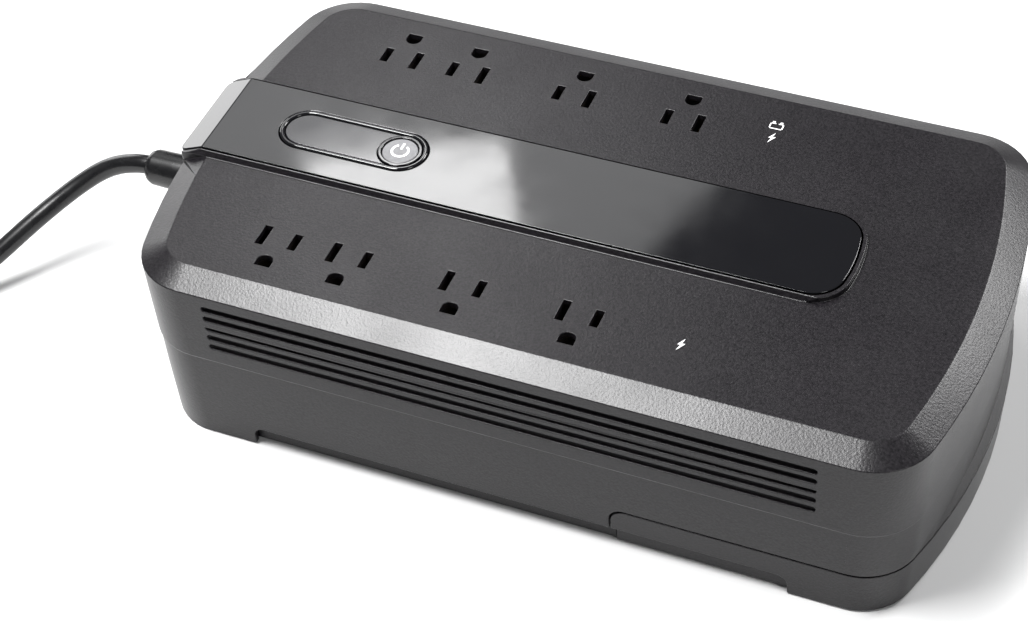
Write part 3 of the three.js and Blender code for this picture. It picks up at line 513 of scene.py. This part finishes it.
def power_mark():
    low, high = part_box("power_button")
    x, y = (low.x + high.x) / 2, (low.y + high.y) / 2
    half_line = 0.42 * MM
    return printed("power_mark", [
        arc_band((x, y), 2.75 * MM, 3.65 * MM, 122.0, 418.0),
        rectangle((x - half_line, y + 0.9 * MM), (x + half_line, y + 4.3 * MM)),
    ], high.z - 0.01 * MM, "power_button")


BOLT = [(0.7, 3.0), (-1.3, -0.3), (-0.1, -0.1), (-0.9, -3.1), (1.4, 0.7), (0.1, 0.4)]


def bolt_outline(x, y):
    return [(x + dx * MM, y + dy * MM) for dx, dy in BOLT]


def battery_outlines(x, y):
    """A small battery seen from the side: an open box with two terminals on it."""
    half_x, half_y, line = 2.7 * MM, 1.7 * MM, 0.45 * MM
    return [
        rectangle((x - half_x, y - half_y), (x + half_x, y - half_y + line)),
        rectangle((x - half_x, y - half_y), (x - half_x + line, y + half_y)),
        rectangle((x + half_x - line, y - half_y), (x + half_x, y + half_y)),
        rectangle((x - half_x, y + half_y - line), (x - 0.5 * MM, y + half_y)),
        rectangle((x + 0.5 * MM, y + half_y - line), (x + half_x, y + half_y)),
        rectangle((x - 2.0 * MM, y + half_y), (x - 1.0 * MM, y + half_y + 0.9 * MM)),
        rectangle((x + 1.0 * MM, y + half_y), (x + 2.0 * MM, y + half_y + 0.9 * MM)),
    ]


TOP_ABOVE_CARRIER = 3.1 * MM
top_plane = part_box("outlet_carrier_front")[1].z + TOP_ABOVE_CARRIER
power_mark()
printed("battery_mark", battery_outlines(53.0 * MM, 62.8 * MM), top_plane, CASE)
printed("bolt_mark_back", [bolt_outline(53.3 * MM, 56.0 * MM)], top_plane, CASE)
printed("bolt_mark_front", [bolt_outline(56.3 * MM, -57.2 * MM)], top_plane, CASE)


# ---------------------------------------------------------------- floor and light
FLOOR_SIZE = 12.0
FLOOR_DROP = 0.2 * MM            # keeps the floor clear of the feet
AMBIENT_STRENGTH = 0.16


def make_floor():
    bpy.ops.mesh.primitive_plane_add(size=FLOOR_SIZE, location=(0, 0, -FLOOR_DROP))
    floor = bpy.context.object
    floor.name = "floor"
    shader = Shader("floor_paper", (0.66, 0.66, 0.66), 0.7)
    floor.data.materials.append(shader.material)


def softbox(name, place, target, size, power, roll=0.0):
    data = bpy.data.lights.new(name, "AREA")
    data.shape = "RECTANGLE"
    data.size, data.size_y = size
    data.energy = power
    light = bpy.data.objects.new(name, data)
    aim = (Vector(target) - Vector(place)).to_track_quat("-Z", "Y")
    light.matrix_world = (
        Matrix.Translation(place) @ aim.to_matrix().to_4x4() @ Matrix.Rotation(math.radians(roll), 4, "Z")
    )
    bpy.context.scene.collection.objects.link(light)


def make_world():
    """A pale backdrop for the camera, which lights the object only a little."""
    world = bpy.data.worlds.new("studio")
    world.use_nodes = True
    tree = world.node_tree
    dim = tree.nodes["Background"]
    dim.inputs["Color"].default_value = (0.9, 0.92, 0.95, 1.0)
    dim.inputs["Strength"].default_value = AMBIENT_STRENGTH
    pale = tree.nodes.new("ShaderNodeBackground")
    pale.inputs["Color"].default_value = (0.93, 0.93, 0.93, 1.0)
    mix = tree.nodes.new("ShaderNodeMixShader")
    path = tree.nodes.new("ShaderNodeLightPath")
    tree.links.new(path.outputs["Is Camera Ray"], mix.inputs["Fac"])
    tree.links.new(dim.outputs[0], mix.inputs[1])
    tree.links.new(pale.outputs[0], mix.inputs[2])
    tree.links.new(mix.outputs[0], tree.nodes["World Output"].inputs["Surface"])
    bpy.context.scene.world = world


make_floor()
make_world()
softbox("light_overhead", (-0.45, -0.22, 1.4), (-0.05, -0.05, 0.05), (0.66, 0.45), 46.0)
softbox("light_back_right", (0.62, 0.95, 0.95), (0.1, 0.0, 0.08), (0.5, 0.4), 15.0)
softbox("light_back_left", (-0.64, 0.9, 1.14), (-0.1, 0.0, 0.08), (0.8, 0.46), 2.8, roll=38.0)
softbox("light_back_left_core", (-0.545, 0.88, 1.03), (-0.05, -0.02, 0.086), (0.2, 0.12), 0.9)
softbox("light_left", (-1.15, 0.72, 0.36), (-0.15, 0.0, 0.08), (0.6, 0.45), 4.0)
softbox("light_front_right", (1.1, -0.7, 0.8), (0.1, 0, 0.05), (0.4, 0.6), 5.0)
bpy.context.scene.view_settings.view_transform = "Standard"
